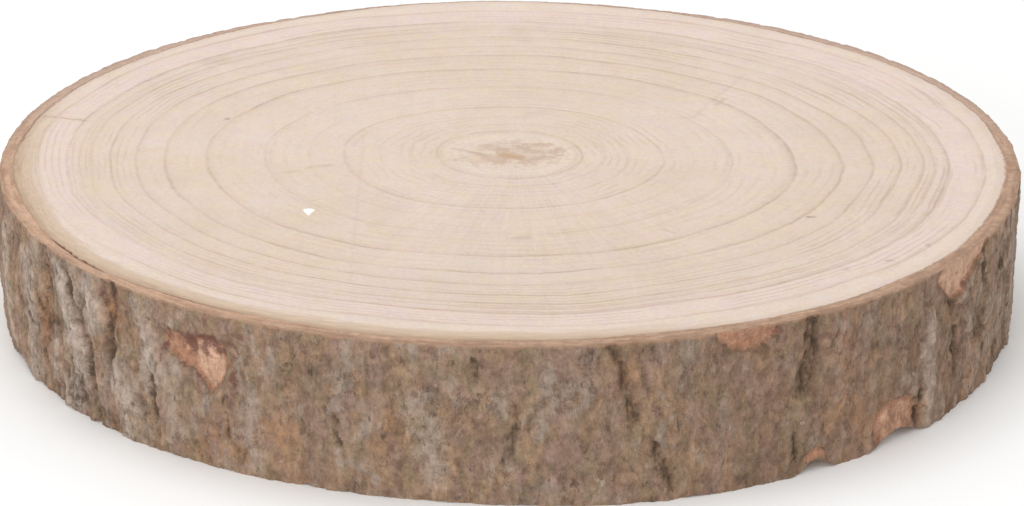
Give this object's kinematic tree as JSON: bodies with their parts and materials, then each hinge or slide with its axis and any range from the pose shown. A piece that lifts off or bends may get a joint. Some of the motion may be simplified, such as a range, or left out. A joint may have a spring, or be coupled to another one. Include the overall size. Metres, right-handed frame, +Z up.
{
  "type": "wood slice",
  "caption": "Round cross-cut slice of a tree trunk with its bark on: pale sawn faces with growth rings, lying flat.",
  "frame": {"origin": "centre of the lower sawn face, under the middle of the disc's outline", "axes": "+Z up through the thickness, out of the upper sawn face; -Y is the front, +X is to the right seen from the front"},
  "size_m": [0.261, 0.2622, 0.04],
  "materials": {
    "wood": "dry sawn end grain, unfinished, with rough grey-brown bark round the edge"
  },
  "bodies": {
    "root": {"wood_slice": "wood"}
  },
  "joints": []
}
